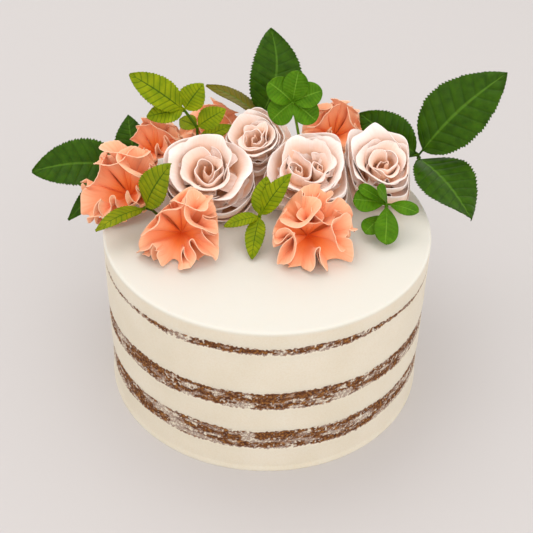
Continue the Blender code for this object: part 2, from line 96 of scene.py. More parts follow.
# Name, centre, reach, tilt to the front, lean to the right, turn, lobes of the crown
BLOOMS = (
    ("coral_left", (-88, 13, 15), 33, 16, -14, 40, 4),
    ("coral_back_left", (-74, 50, 22), 23, 4, -10, 65, 3),
    ("coral_back", (-38, 80, 18), 22, -6, 4, 10, 3),
    ("coral_front_left", (-52, -24, 13), 32, 30, -6, 85, 4),
    ("coral_back_right", (43, 76, 21), 25, 0, 6, 150, 3),
    ("coral_front_right", (25, -23, 13), 37, 30, 6, 200, 4),
)

# Leaf outlines: how fast the blade widens at its base and narrows at its tip
OVATE = (0.62, 0.86)
LANCE = (0.75, 1.1)
SPOON = (1.1, 0.5)
ROUND = (0.6, 0.5)

# A stem's points from where it stands to its end, then its leaflets: the stem point each grows from,
# its tip, width, outline, the way its upper face looks, and, where it isn't straight, how far
# its midrib bows, as a part of its length
FRONT = (0.0, -0.62, 0.78)
SPRIGS = {
    "leaf_left": (
        ((-80, 66, 1.2), (-86, 54, 6), (-90, 44, 9)),
        (2, (-149, 27, 17), 35, OVATE, (0.1, -0.55, 0.8), 0.05),
        (2, (-127, 13, -10), 19, LANCE, (-0.3, -0.5, 0.8)),
        (1, (-93, 72, 32), 24, OVATE, (-0.4, -0.6, 0.6)),
    ),
    "leaf_back": (
        ((-10, 92, 1.2), (-8, 86, 16), (-6, 81, 28)),
        (2, (-1, 117, 74), 35, OVATE, (0.0, -0.8, 0.6), 0.12),
        (2, (-42, 88, 47), 19, LANCE, (0.1, 0.0, 1.0)),
    ),
    "leaf_right": (
        ((72, 66, 1.2), (84, 62, 10), (96, 51, 20)),
        (2, (147, 64, 74), 42, OVATE, (-0.2, -0.7, 0.7), -0.03),
        (2, (128, 8, 2), 46, OVATE, (0.5, -0.5, 0.7)),
        (2, (58, 74, 36), 30, OVATE, (0.1, -0.95, 0.3)),
    ),
    "sprig_back_left": (
        ((-50, 58, 1.2), (-46, 52, 26), (-46, 48, 39), (-54, 50, 50)),
        (3, (-87, 53, 73), 21, OVATE, FRONT),
        (3, (-42, 55, 66), 18, OVATE, FRONT),
        (3, (-77, 44, 48), 16, OVATE, FRONT),
        (2, (-28, 52, 50), 15, OVATE, FRONT),
        (2, (-58, 58, 38), 12, OVATE, FRONT),
        (1, (-24, 64, 31), 10, OVATE, FRONT),
    ),
    "sprig_front_left": (
        ((-68, 4, 1.2), (-71, -1, 9), (-75, -7, 15)),
        (2, (-58, -10, 49), 22, OVATE, (-0.5, -0.7, 0.5)),
        (2, (-101, -33, 17), 15, LANCE, (-0.3, -0.3, 0.9)),
    ),
    "sprig_front": (
        ((-6, -6, 1.2), (-6, -9, 8), (-5, -13, 15)),
        (2, (-1, -3, 37), 14, OVATE, FRONT),
        (2, (13, -8, 43), 14, OVATE, (-0.5, -0.7, 0.5)),
        (2, (-9, -38, 2), 13, OVATE, (-0.2, -0.4, 0.9)),
        (2, (-26, -21, 13), 10, OVATE, (0, -0.3, 0.9)),
    ),
    "sprig_front_right": (
        ((70, -2, 1.2), (72, 1, 8), (73, 3, 15)),
        (2, (52, -3, 22), 15, SPOON, FRONT),
        (2, (55, 1, 29), 8, SPOON, FRONT),
        (2, (66, -3, 32), 9, SPOON, (0.6, -0.5, 0.6)),
        (2, (90, -12, 20), 10, SPOON, (-0.3, -0.3, 0.9)),
        (2, (71, -24, 5), 15, SPOON, (0.1, -0.6, 0.8)),
        (1, (59, -16, 7), 12, SPOON, (-0.2, -0.6, 0.8)),
    ),
    "sprig_round": (
        ((16, 58, 1.2), (19, 56, 28), (14, 56, 54)),
        (2, (-1, 57, 67), 18, ROUND, FRONT),
        (2, (17, 61, 73), 16, ROUND, FRONT),
        (2, (32, 57, 62), 17, ROUND, FRONT),
        (2, (1, 50, 44), 18, ROUND, FRONT),
        (2, (29, 49, 45), 17, ROUND, FRONT),
    ),
}
print("flowers:", len(ROSES) + len(BLOOMS), "sprigs:", len(SPRIGS))

# %% [markdown]
# ## From arrays to meshes
# A sheet is a grid of points with rows and columns. Its faces join neighbours in the grid, so they
# can be counted out as one array. Named values, such as how far a point lies along a petal, are kept
# on the points, and the materials read them later.

# %% Helpers that turn grids into meshes
SAME_PLACE = 1e-7
SHARP_ANGLE = math.radians(60.0)


def smooth(values):
    """Ease from 0 to 1 with flat ends: three times the square less twice the cube."""
    part = np.clip(values, 0.0, 1.0)
    return part * part * (3.0 - 2.0 * part)


def unit(vector):
    """The vector divided by its length."""
    vector = np.asarray(vector, float)
    return vector / np.linalg.norm(vector)


def grid(rows, columns, foot=0.0, left=-1.0):
    """The way from foot to rim of each row, and how far across each column is, up to 1."""
    return np.linspace(foot, 1.0, rows)[:, None], np.linspace(left, 1.0, columns)[None, :]


def from_axis(radius, turn, height):
    """Points at a radius from the vertical axis, a turn about it and a height."""
    return np.stack(np.broadcast_arrays(radius * np.cos(turn), radius * np.sin(turn), height), axis=-1)


def grid_quads(rows, columns, start=0, wrapped=False):
    """Faces of a grid, one for each row and column step, counted from the point called start."""
    row = np.arange(rows - 1)[:, None] * columns
    column = np.arange(columns if wrapped else columns - 1)[None, :]
    after = (column + 1) % columns
    corners = [row + column, row + after, row + columns + after, row + columns + column]
    return np.stack(corners, axis=-1).reshape(-1, 4) + start


def grid_normals(points, wrapped):
    """Unit normals of a grid: the cross product of its two directions."""
    if wrapped:
        around = np.roll(points, -1, axis=1) - np.roll(points, 1, axis=1)
    else:
        around = np.gradient(points, axis=1)
    normals = np.cross(around, np.gradient(points, axis=0))
    return normals / np.maximum(np.linalg.norm(normals, axis=2, keepdims=True), 1e-9)


def skin(points, thickness, values, wrapped=False):
    """A closed sheet: the grid moved half its thickness each way along its normals, with a strip
    of faces round its edge. A wrapped sheet joins its last column to its first."""
    rows, columns = points.shape[:2]
    count = rows * columns
    half = 0.5 * np.broadcast_to(thickness, (rows, columns))[..., None] * grid_normals(points, wrapped)
    both = np.concatenate([(points + half).reshape(-1, 3), (points - half).reshape(-1, 3)])
    index = np.arange(count).reshape(rows, columns)
    if wrapped:
        edges = [index[-1], index[0, ::-1]]
    else:
        edges = [np.concatenate([index[-1], index[-2:0:-1, -1], index[0, ::-1], index[1:-1, 0]])]
    faces = [
        grid_quads(rows, columns, 0, wrapped),
        grid_quads(rows, columns, count, wrapped)[:, ::-1],
    ]
    for edge in edges:
        after = np.roll(edge, -1)
        faces.append(np.stack([edge, after, after + count, edge + count], axis=1))
    kept = {name: np.tile(np.broadcast_to(value, (rows, columns)).ravel(), 2)
            for name, value in values.items()}
    return both, np.concatenate(faces), kept


def put_mesh(name, parts):
    """One mesh object from parts, each of them points, faces with four corners, and named values.
    Points in one place, as at a pole, are joined to one point."""
    starts = np.cumsum([0] + [len(points) for points, quads, values in parts])
    points = np.concatenate([part[0] for part in parts])
    quads = np.concatenate([part[1] + start for part, start in zip(parts, starts)]).astype(np.int32)
    mesh = bpy.data.meshes.new(name)
    mesh.vertices.add(len(points))
    mesh.vertices.foreach_set("co", (points * MM).astype(np.float32).ravel())
    mesh.loops.add(quads.size)
    mesh.loops.foreach_set("vertex_index", quads.ravel())
    mesh.polygons.add(len(quads))
    mesh.polygons.foreach_set("loop_start", np.arange(0, quads.size, 4, dtype=np.int32))
    mesh.update(calc_edges=True)
    for key in parts[0][2]:
        layer = mesh.attributes.new(key, "FLOAT", "POINT")
        joined = np.concatenate([part[2][key] for part in parts])
        layer.data.foreach_set("value", joined.astype(np.float32))
    form = bmesh.new()
    form.from_mesh(mesh)
    bmesh.ops.remove_doubles(form, verts=form.verts, dist=SAME_PLACE)
    form.to_mesh(mesh)
    form.free()
    mesh.shade_smooth()
    mesh.set_sharp_from_angle(angle=SHARP_ANGLE)
    made = bpy.data.objects.new(name, mesh)
    bpy.context.scene.collection.objects.link(made)
    return made


def put_down(name, parts, material):
    """Make the piece, give it its material and let it stand for the CAD node of that name."""
    piece = put_mesh("dressed_" + name, parts)
    piece.data.materials.append(material)
    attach(piece, "root")
    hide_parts(name)
    print(f"{piece.name}: {len(piece.data.loops) - 2 * len(piece.data.polygons)} triangles")


# %% [markdown]
# ## Unevenness
# Nothing on a cake is even. Value noise gives it: every cell of a lattice has its own fixed random
# number, and a point takes a smooth mix of the eight numbers round it. The numbers come from
# multiplying and mixing whole numbers, so they are the same on every run.

# %% Noise
# Large odd numbers, which spread neighbouring cells and seeds far apart
CELL_FACTORS = (73856093, 19349663, 83492791)
SEED_FACTOR = 2654435761
MIXING = ((15, 2246822519), (13, 3266489917))
LOW_BITS = 0x7FFFFFFF


def lattice(cells, seed):
    """A fixed random number from 0 to 1 for each cell, by mixing its whole-number coordinates."""
    x, y, z = np.moveaxis(cells.astype(np.int64), -1, 0)
    mixed = x * CELL_FACTORS[0] ^ y * CELL_FACTORS[1] ^ z * CELL_FACTORS[2]
    mixed = (mixed ^ (seed * SEED_FACTOR)) & LOW_BITS
    for shift, factor in MIXING:
        mixed = ((mixed ^ (mixed >> shift)) * factor) & LOW_BITS
    return (mixed >> 7 & 0xFFFF) / 65535.0


def noise(points, cell, seed):
    """Value noise from 0 to 1: a smooth mix of the random numbers at the corners of each cell."""
    scaled = points / np.asarray(cell, float)
    whole = np.floor(scaled)
    part = smooth(scaled - whole)
    total = 0.0
    for corner in np.ndindex(2, 2, 2):
        weight = np.prod(np.where(corner, part, 1.0 - part), axis=-1)
        total = total + weight * lattice(whole + np.array(corner), seed)
    return total


print("noise at the origin:", round(float(noise(np.zeros((1, 3)), 1.0, 1)[0]), 3))

# %% [markdown]
# ## Colours and nodes
# Colours are picked as on a screen and turned to linear light by one function. One small function
# adds a node, sets its values and links the rest. The short ones after it each add one kind of node
# and hand back its socket, so that a material reads like a sum.

# %% Colour and node helpers
MIX_FACTOR, MIX_A, MIX_B, MIX_RESULT = 0, 6, 7, 2


def linear(code):
    """Linear colour of a hex code: the low part divided by 12.92, the rest by the 2.4 power law."""
    values = np.array([int(code[place:place + 2], 16) / 255.0 for place in (1, 3, 5)])
    low = values / 12.92
    high = ((values + 0.055) / 1.055) ** 2.4
    return (*np.where(values <= 0.04045, low, high).tolist(), 1.0)


def add(tree, kind, inputs, stops=(), **settings):
    """Add one node. An input is a value or a socket to link, and stops are a ramp's colours."""
    made = tree.nodes.new(kind)
    for name, value in settings.items():
        setattr(made, name, value)
    for name, value in inputs.items():
        if isinstance(value, bpy.types.NodeSocket):
            tree.links.new(value, made.inputs[name])
        else:
            made.inputs[name].default_value = value
    if stops:
        elements = made.color_ramp.elements
        while len(elements) < len(stops):
            elements.new(1.0)
        for element, (position, colour) in zip(elements, stops):
            element.position = position
            element.color = linear(colour)
    return made


def place_on(tree):
    """Where a point is on its own object."""
    return add(tree, "ShaderNodeTexCoord", {}).outputs["Object"]


def read(tree, name):
    """A named value that the points keep."""
    return add(tree, "ShaderNodeAttribute", {}, attribute_name=name).outputs["Fac"]


def clouds(tree, place, size, detail, roughness=0.5):
    """Noise with patches of about the size in millimetres."""
    inputs = {"Vector": place, "Scale": 1.0 / (size * MM), "Detail": detail, "Roughness": roughness}
    return add(tree, "ShaderNodeTexNoise", inputs).outputs["Fac"]


def ramp(tree, factor, stops):
    """The colour at a factor between stops."""
    return add(tree, "ShaderNodeValToRGB", {"Fac": factor}, stops).outputs["Color"]


def blend(tree, factor, first, second, kind="MIX"):
    """A mix of two colours."""
    inputs = {MIX_FACTOR: factor, MIX_A: first, MIX_B: second}
    made = add(tree, "ShaderNodeMix", inputs, data_type="RGBA", blend_type=kind)
    return made.outputs[MIX_RESULT]


def rise(tree, value, start, end, top=1.0, kind="LINEAR"):
    """A value that goes from 0 at the start to the top at the end."""
    inputs = {"Value": value, "From Min": start, "From Max": end, "To Max": top}
    return add(tree, "ShaderNodeMapRange", inputs, interpolation_type=kind).outputs["Result"]


def reckon(tree, operation, *values):
    """The result of one step of arithmetic."""
    return add(tree, "ShaderNodeMath", dict(enumerate(values)), operation=operation).outputs[0]


def new_material(name, sockets):
    """A Principled material with fixed values on its sockets, and its node tree."""
    material = bpy.data.materials.new(name)
    material.use_nodes = True
    for key, value in sockets.items():
        material.node_tree.nodes["Principled BSDF"].inputs[key].default_value = value
    return material, material.node_tree


def finish_shader(tree, colour, height, strength, depth, invert=False):
    """Link the colour, and a bump of a depth in millimetres, to the shader."""
    inputs = {"Height": height, "Strength": strength, "Distance": depth * MM}
    bump = add(tree, "ShaderNodeBump", inputs, invert=invert)
    shader = tree.nodes["Principled BSDF"]
    tree.links.new(colour, shader.inputs["Base Color"])
    tree.links.new(bump.outputs["Normal"], shader.inputs["Normal"])


print("mid grey in linear light:", round(linear("#808080")[0], 3))

# %% [markdown]
# ## Buttercream
# The sides and the top are buttercream, a whipped fat with sugar. It is ivory, soft and slightly
# waxy: light enters it a few millimetres, so it has some subsurface scattering and a soft gloss.
# The colour changes a little from place to place, over patches of 30 mm and specks of 1 mm. The top
# has a paler tone painted on it, which is painted light where the top faces the light above. Over the
# sponge the cream is scraped to a thin film, and the same function colours that film, so the bands
# join without a seam.

# %% Buttercream and the sponge that shows through it
CREAM_PATCH_MM = 30.0
CREAM_SPECK_MM = 1.1
CREAM_TONES = ((0.3, "#e2d8c4"), (0.7, "#e8dfce"))
CREAM_SPECKS = ((0.25, "#f0e4cc"), (0.6, "#ffffff"))
SPECK_STRENGTH = 0.25
# Painted light: a paler tone for the top of the cake, where it faces the light above
CREAM_TOP_PAINTED_LIGHT = "#dfdcd3"
TOP_PAINTED_LIGHT_START = CAKE_HEIGHT - 3.0
TOP_PAINTED_LIGHT_END = CAKE_HEIGHT - 0.6
CRUMB_MM = 1.6
CRUMB_TONES = ((0.34, "#38190a"), (0.5, "#6a3b17"), (0.66, "#a97336"))
STIPPLE_MM = 0.9
STIPPLE_STRENGTH = 1.1
HAZE_TONE = "#bdaca0"


def cream_colour(tree, place):
    """Ivory with broad and fine variation."""
    tint = ramp(tree, clouds(tree, place, CREAM_PATCH_MM, 3.0), CREAM_TONES)
    specks = ramp(tree, clouds(tree, place, CREAM_SPECK_MM, 4.0), CREAM_SPECKS)
    return blend(tree, SPECK_STRENGTH, tint, specks, "MULTIPLY")


def make_cream():
    """Buttercream: ivory with a paler tone painted on top as painted light from above, waxy, with a very
    fine grain in its bump.
    """
    material, tree = new_material("buttercream_scraped", {
        "Roughness": 0.46,
        "IOR": 1.46,
        "Subsurface Weight": 0.25,
        "Subsurface Scale": 0.004,
        "Subsurface Radius": (1.0, 0.85, 0.7),
    })
    place = place_on(tree)
    height = add(tree, "ShaderNodeSeparateXYZ", {"Vector": place}).outputs["Z"]
    # Painted light: the top takes the paler tone, where it faces the light above
    painted_top_light = rise(tree, height, TOP_PAINTED_LIGHT_START * MM, TOP_PAINTED_LIGHT_END * MM)
    colour = blend(tree, painted_top_light, cream_colour(tree, place), linear(CREAM_TOP_PAINTED_LIGHT))
    finish_shader(tree, colour, clouds(tree, place, CREAM_SPECK_MM, 5.0), 0.25, 0.2)
    return material


def make_sponge():
    """Chocolate sponge, an open crumb with pores of about 1.6 mm, under the film of cream that the
    value called cover gives. A fine stipple breaks the film up. As the sum of the two rises, crumb
    turns to haze, and haze to cream."""
    material, tree = new_material("chocolate_sponge_crumb", {"Roughness": 0.85, "IOR": 1.4})
    place = place_on(tree)
    crumb = clouds(tree, place, CRUMB_MM, 6.0, 0.65)
    stipple = clouds(tree, place, STIPPLE_MM, 3.0, 0.7)
    cover = reckon(tree, "MULTIPLY_ADD", stipple, STIPPLE_STRENGTH, read(tree, "cover"))
    haze = rise(tree, cover, 0.66, 1.02, 0.72)
    hazed = blend(tree, haze, ramp(tree, crumb, CRUMB_TONES), linear(HAZE_TONE))
    film = rise(tree, cover, 1.06, 1.26, kind="SMOOTHSTEP")
    colour = blend(tree, film, hazed, cream_colour(tree, place))
    finish_shader(tree, colour, crumb, 0.6, 0.6)
    return material


cream_material = make_cream()
sponge_material = make_sponge()
print("materials:", cream_material.name, sponge_material.name)

# %% [markdown]
# ## The layers of the cake
# On the real cake the layers are stacked, the cream is spread all round, and a scraper takes most of
# it off again. What is left over the sponge is a ragged film with flecks and smears that run the way
# the scraper went. So each band is a tall grid round the axis. A cover value says how much cream is
# left at each point, and where it is low the surface drops back by half a millimetre of crumb.

# %% Shape functions of the layers
# How high the slow noise has to be for a smear, which sets how much of each band is smeared
SMEARS = {"sponge_bottom": 0.58, "sponge_middle": 0.63, "sponge_top": 0.68}

# Cells of the noise for each kind of mark, in millimetres across, deep and tall
MARK_CELL = (16.0, 16.0, 0.9)
BROAD_CELL = (12.0, 12.0, 9.0)
FILM_CELL = (9.0, 9.0, 2.6)
STROKE_CELL = (2.0, 2.0, 1.1)
FLECK_CELL = (1.15, 1.15, 1.0)
HAZE_CELL = (5.5, 5.5, 1.7)
RAGGED_CELL = (1.3, 1.3, 0.9)
RAGGED_MM = 1.9
EDGE_FADE_MM = 1.4

# How much cream each kind of mark leaves
SMEAR_COVER, STROKE_COVER, FLECK_COVER, HAZE_COVER = 0.5, 0.62, 0.72, 0.29


def layer_edge(height, turn):
    """Height of the line between two layers at a turn: it wanders as the sum of two sines, and the
    lines of the topmost sponge near each other to the left and right."""
    if height <= 0.0 or height >= CAKE_HEIGHT:
        return np.full_like(turn, height)
    wander = 0.6 * np.sin(7 * turn + height) + 0.4 * np.sin(12 * turn + 2.3 * height)
    pinch = {LAYER_TOPS[4][1]: TOP_BAND_PINCH, LAYER_TOPS[5][1]: -TOP_BAND_PINCH}.get(height, 0.0)
    return height + EDGE_WANDER * wander + pinch * np.cos(turn) ** 2


def wall_radius(turn, height):
    """Radius of the scraped cream: a slow sine round the cake, long shallow scraper marks, and a
    foot at the very bottom where the cream was pushed out."""
    place = from_axis(40.0, turn, height)
    marks = noise(place, MARK_CELL, 11) - 0.5
    broad = noise(place, BROAD_CELL, 12) - 0.5
    foot = FOOT_PROUD * smooth((2.0 * FOOT_HEIGHT - height) / FOOT_HEIGHT)
    sway = 0.1 * np.sin(5 * turn + 0.05 * height)
    return CAKE_RADIUS - WALL_INSET + sway + 0.12 * marks + 0.3 * broad - 0.1 + foot


def cream_cover(name, turn, height, low, high):
    """How much cream is left over the sponge, 0 to 1: all of it near a ragged line by each edge,
    broad smears where slow noise is high, and short strokes and flecks where fast noise is high."""
    place = from_axis(CAKE_RADIUS, turn, height)
    inside = np.minimum(height - low, high - height)
    ragged = RAGGED_MM * noise(place, RAGGED_CELL, 21) ** 1.6
    edge = 1.0 - smooth((inside - ragged) / EDGE_FADE_MM)
    film = noise(place, FILM_CELL, 22)
    down = 1.0 - (height - low) / (high - low)
    limit = SMEARS[name] + 0.16 * (0.5 - down)
    smear = smooth((film - limit) / 0.12)
    stroke = smooth((noise(place, STROKE_CELL, 23) + 0.5 * (film - 0.5) - 0.68) / 0.14)
    fleck = smooth((noise(place, FLECK_CELL, 24) + 0.35 * (film - 0.5) - 0.70) / 0.12)
    haze = smooth((noise(place, HAZE_CELL, 25) + 0.4 * (film - limit) - 0.42) / 0.3)
    marks = [edge, SMEAR_COVER * smear, STROKE_COVER * stroke, FLECK_COVER * fleck, HAZE_COVER * haze]
    return np.clip(np.maximum.reduce(marks), 0.0, 1.0)


# %% [markdown]
# The top is one smooth face with a softly rounded edge. It was levelled with a knife in slow turns,
# so it has shallow waves of a quarter of a millimetre.

# %% Build the layers
TURN = 2 * math.pi * np.arange(COLUMNS_ROUND) / COLUMNS_ROUND
SPONGE_STEP_MM = 0.5
CREAM_STEP_MM = 1.3
CRUMB_CELL = 1.4
LIP_MM = 0.15
LIP_WIDTH = 3.0
EDGE_ANGLES = (15, 30, 45, 60, 75, 90)
TOP_SHARES = np.linspace(0.98, 0.0, 46)


def top_height(radius, turn):
    """Height of the top face: broad waves, and arcs left by the knife."""
    place = from_axis(radius, turn, 0.0)
    broad = noise(place, (38.0, 38.0, 1.0), 31) - 0.5
    swept = np.stack([radius + 0.15 * place[..., 0], 20 * np.cos(turn), 20 * np.sin(turn)], axis=-1)
    arcs = noise(swept, (5.0, 12.0, 12.0), 32) - 0.5
    return CAKE_HEIGHT - 0.25 + 0.35 * broad + 0.14 * arcs


def top_rings(wall, side_top):
    """Rings of the top of the cake: round the edge as a quarter circle, then in to the middle."""
    rings = []
    for angle in np.radians(EDGE_ANGLES):
        radius = wall - TOP_EDGE_ROUND * (1.0 - math.cos(angle))
        risen = (top_height(radius, TURN) - side_top) * math.sin(angle)
        rings.append(from_axis(radius, TURN, side_top + risen))
    for share in TOP_SHARES:
        radius = (wall - TOP_EDGE_ROUND) * share
        face = top_height(radius, TURN)
        rings.append(from_axis(radius, TURN, face if share else face.mean()))
    return rings


def build_layer(name, low, high):
    """One layer as rings of points, from the middle of its underside, up its side with its cover of
    cream, to the middle of its top. The first and last rings are drawn together to one point."""
    is_sponge = name.startswith("sponge")
    bottom = layer_edge(low, TURN)
    top = layer_edge(high, TURN)
    side_top = top - TOP_EDGE_ROUND if name == "cream_top" else top
    rows = int(round((high - low) / (SPONGE_STEP_MM if is_sponge else CREAM_STEP_MM))) + 1
    height = bottom + (side_top - bottom) * np.linspace(0.0, 1.0, rows)[:, None]
    radius = wall_radius(TURN, height)
    cover = 1.0
    if is_sponge:
        cover = cream_cover(name, TURN, height, bottom, top)
        place = from_axis(radius, TURN, height)
        crumb = noise(place, CRUMB_CELL, 41) + 0.5 * noise(place, 0.5 * CRUMB_CELL, 42) - 0.75
        radius = radius - (1.0 - cover) * (SPONGE_RECESS + 0.5 * crumb)
    rings = [
        from_axis(0.0, TURN, low + LIP_MM),
        from_axis(radius[0] - LIP_WIDTH, TURN, bottom + LIP_MM),
        *from_axis(radius, TURN, height),
    ]
    if name == "cream_top":
        rings += top_rings(radius[-1], side_top)
    else:
        rings.append(from_axis(radius[-1] - LIP_WIDTH, TURN, top - LIP_MM))
        rings.append(from_axis(0.0, TURN, high - LIP_MM))
    covers = np.ones((len(rings), COLUMNS_ROUND))
    covers[2:2 + rows] = cover
    quads = grid_quads(len(rings), COLUMNS_ROUND, 0, True)
    part = (np.array(rings).reshape(-1, 3), quads, {"cover": covers.ravel()})
    if is_sponge:
        put_down(name, [part], sponge_material)
    else:
        put_down(name, [part], cream_material)


low = 0.0
for name, high in LAYER_TOPS:
    build_layer(name, low, high)
    low = high

# %% [markdown]
# ## Room for each flower
# The flowers are pushed together, and each one gives way to its neighbours. Each flower has a cell,
# a set of planes that part it from the other flowers, the leaves and the cake. A point that would
# leave the cell is drawn in towards the flower's centre, softly, so petals crowd but never cross.

# %% Leaf surfaces and flower cells
STALK_PART = 0.06
STALK_HALF_WIDTH = 0.9
LEAF_TOOTH_MM = 2.1
VEIN_PAIRS = 9.0
VEIN_LEAN = 1.6
VEIN_BEND = 0.4
CLEARANCE = 0.3
LEAF_MARGIN = 1.6
NEAR_LEAF_MM = 6.0
ROSE_SHARE = 1.15
CELL_SKIN = 0.6
CELL_SOFTNESS = 0.16
CELL_POWER = 8.0


def above_top(points):
    """World millimetres of points whose heights are counted from the top of the cake."""
    return np.asarray(points, float) + (0.0, 0.0, CAKE_HEIGHT)


def past_stalk(way):
    """The way along the blade, for a way from the joint to the tip that begins with the stalk."""
    return np.clip((way - STALK_PART) / (1.0 - STALK_PART), 0.0, 1.0)


def leaf_surface(stem, leaflet, rows, columns, teeth=0.0, pucker=0.0):
    """Points of a blade. Its half width is a power of the way from its base times a power of the way
    to its tip, less a saw wave for the teeth. It is folded up from its midrib, arched along it, waved
    at its edges and puckered between its side veins."""
    joint, tip, width, outline, face, *bow = leaflet
    base = above_top(stem[joint])
    reach = above_top(tip) - base
    length = np.linalg.norm(reach)
    along = reach / length
    up = unit(np.asarray(face, float) - along * np.dot(face, along))
    side = np.cross(along, up)
    way, across = grid(rows, columns)
    blade = past_stalk(way)
    grow, shrink = outline
    widest = grow / (grow + shrink)
    shape = (blade / widest) ** grow * ((1 - blade) / (1 - widest)) ** shrink
    half = np.maximum(0.5 * width * shape, STALK_HALF_WIDTH * (1.0 - 0.6 * way))
    notch = (blade * length / LEAF_TOOTH_MM) % 1.0
    half = half * (1.0 - teeth * notch * np.abs(across) ** 6)
    lateral = half * across + sum(bow) * length * np.sin(math.pi * way)
    fold = 0.16 * half * np.abs(across)
    arch = 0.07 * length * (np.sin(math.pi * way) - 0.3)
    wave = 0.05 * width * np.sin(2.2 * math.pi * way + 1.3 * across) * across ** 2
    veins = (blade * VEIN_PAIRS - VEIN_LEAN * np.abs(across) * (1.0 - VEIN_BEND * blade)) % 1.0
    bulge = pucker * np.sin(math.pi * veins) ** 0.8 * smooth(4 * blade) * (1.0 - across ** 4)
    lift = fold + arch + wave + bulge - pucker
    forward = way * length + 0.0 * across
    return base + forward[..., None] * along + lateral[..., None] * side + lift[..., None] * up


def flower_cell(name):
    """The flower's centre and planes, each a direction and a distance. Two flowers share the way
    between their centres by their reach. A stem or leaflet is parted off at its nearest point."""
    places = {row[0]: (above_top(row[1]), row[2]) for row in BLOOMS}
    places.update({row[0]: (above_top(row[1]), ROSE_SHARE * row[2]) for row in ROSES})
    centre, reach = places[name]
    planes = [(np.array([0.0, 0.0, -1.0]), centre[2] - CAKE_HEIGHT - CLEARANCE)]
    for other, (place, size) in places.items():
        if other != name:
            gap = place - centre
            distance = np.linalg.norm(gap)
            planes.append((gap / distance, distance * reach / (reach + size) - 0.5 * CLEARANCE))
    for stem, *leaflets in SPRIGS.values():
        route = above_top(stem)
        shares = np.linspace(0, 1, 12)[:, None]
        obstacles = [np.concatenate([a + (b - a) * shares for a, b in zip(route[:-1], route[1:])])]
        obstacles += [leaf_surface(stem, leaflet, 25, 9).reshape(-1, 3) for leaflet in leaflets]
        for obstacle in obstacles:
            offsets = obstacle - centre
            distances = np.linalg.norm(offsets, axis=1)
            nearest = int(np.argmin(distances))
            distance = distances[nearest]
            if distance < reach + NEAR_LEAF_MM:
                planes.append((offsets[nearest] / distance, distance - LEAF_MARGIN))
    return centre, planes


def fit_in_cell(points, cell):
    """Draw points in towards the centre of the cell. How far out a point lies is the power mean of
    its ratios to the planes. Up to a start it is kept, and above it it nears 1 as a hyperbola."""
    centre, planes = cell
    offsets = points - centre
    total = 0.0
    for way, distance in planes:
        total = total + np.maximum(offsets @ way / (distance - CELL_SKIN), 0.0) ** CELL_POWER
    ratio = total ** (1.0 / CELL_POWER)
    start = 1.0 - CELL_SOFTNESS
    beyond = np.maximum(ratio - start, 0.0)
    fitted = 1.0 - CELL_SOFTNESS ** 2 / (beyond + CELL_SOFTNESS)
    scale = np.where(ratio > start, fitted / np.maximum(ratio, 1e-9), 1.0)
    return centre + offsets * scale[..., None]


def turn_about(axis, degrees):
    """Rotation about one axis: the cosine and sine of the angle in the rows of the other two."""
    angle = math.radians(degrees)
    first, second = (axis + 1) % 3, (axis + 2) % 3
    matrix = np.eye(3)
    matrix[first, first] = matrix[second, second] = math.cos(angle)
    matrix[second, first] = math.sin(angle)
    matrix[first, second] = -math.sin(angle)
    return matrix


def flower_turn(tilt, lean, turn):
    """Rotation of a flower: round its own axis, then towards the front, then to the right."""
    return turn_about(1, lean) @ turn_about(0, tilt) @ turn_about(2, turn)


cells = {row[0]: flower_cell(row[0]) for row in ROSES + BLOOMS}
print("planes round each flower:", {name: len(cell[1]) for name, cell in cells.items()})

# %% [markdown]
# ## Petal material
# A petal is thin, matt and velvety. The rose's is blush white at its rim and warm peach deep inside.
# That peach is partly the rose's own colour and partly painted glow, which stands for the light that
# comes through other petals, so the petal needs no scattering of its own. The pale line at each rim
# is a painted highlight. The values along and across say where on the petal a point is.

# %% Rose petal and coral petal
BLOT_MM = 9.0
BLOT_SHIFT = 0.22
STREAK_SCALE = (26.0, 1.6, 1.0)


def make_petal(name, stops, streak, rim):
    """A petal: colour along its length from base to rim, shifted by soft blots, with fine streaks
    along it and a pale line at its rim, which is a painted highlight."""
    material, tree = new_material(name, {
        "Roughness": 0.6,
        "IOR": 1.4,
        "Sheen Weight": 0.1,
        "Sheen Roughness": 0.5,
    })
    along = read(tree, "along")
    blot = clouds(tree, place_on(tree), BLOT_MM, 3.0)
    moved = reckon(tree, "MULTIPLY_ADD", blot, BLOT_SHIFT, along)
    shifted = reckon(tree, "SUBTRACT", moved, 0.5 * BLOT_SHIFT)
    lines = add(tree, "ShaderNodeCombineXYZ", {"X": read(tree, "across"), "Y": along})
    inputs = {"Vector": lines.outputs["Vector"], "Scale": STREAK_SCALE}
    stretched = add(tree, "ShaderNodeMapping", inputs).outputs["Vector"]
    streaks = clouds(tree, stretched, 1.0 / MM, 2.0)
    tone = ramp(tree, streaks, ((0.3, streak), (0.62, "#ffffff")))
    streaked = blend(tree, 0.5, ramp(tree, shifted, stops), tone, "MULTIPLY")
    # Painted highlight: a pale line along the rim
    colour = blend(tree, rise(tree, along, 0.98, 1.0), streaked, linear(rim))
    finish_shader(tree, colour, streaks, 0.3, 0.3)
    return material


# The rose's peach stops towards the base are partly its own blush and partly painted glow of the light
# that comes through the petals into its depths
rose_material = make_petal(
    "rose_petal_blush",
    ((0.2, "#fbb174"), (0.45, "#ffcfa8"), (0.66, "#ffe1ce"), (0.8, "#ffeee6"), (0.92, "#fff5f1")),
    # The streak colour, then the painted highlight at the rim
    "#fff2ec", "#fff3ee")
coral_material = make_petal(
    "ruffled_petal_coral",
    ((0.12, "#e56a1c"), (0.35, "#f8914a"), (0.62, "#feb182"), (1.0, "#fec39e")),
    # The streak colour, then the painted highlight at the rim
    "#f9dccb", "#ffcfae")
print("materials:", rose_material.name, coral_material.name)

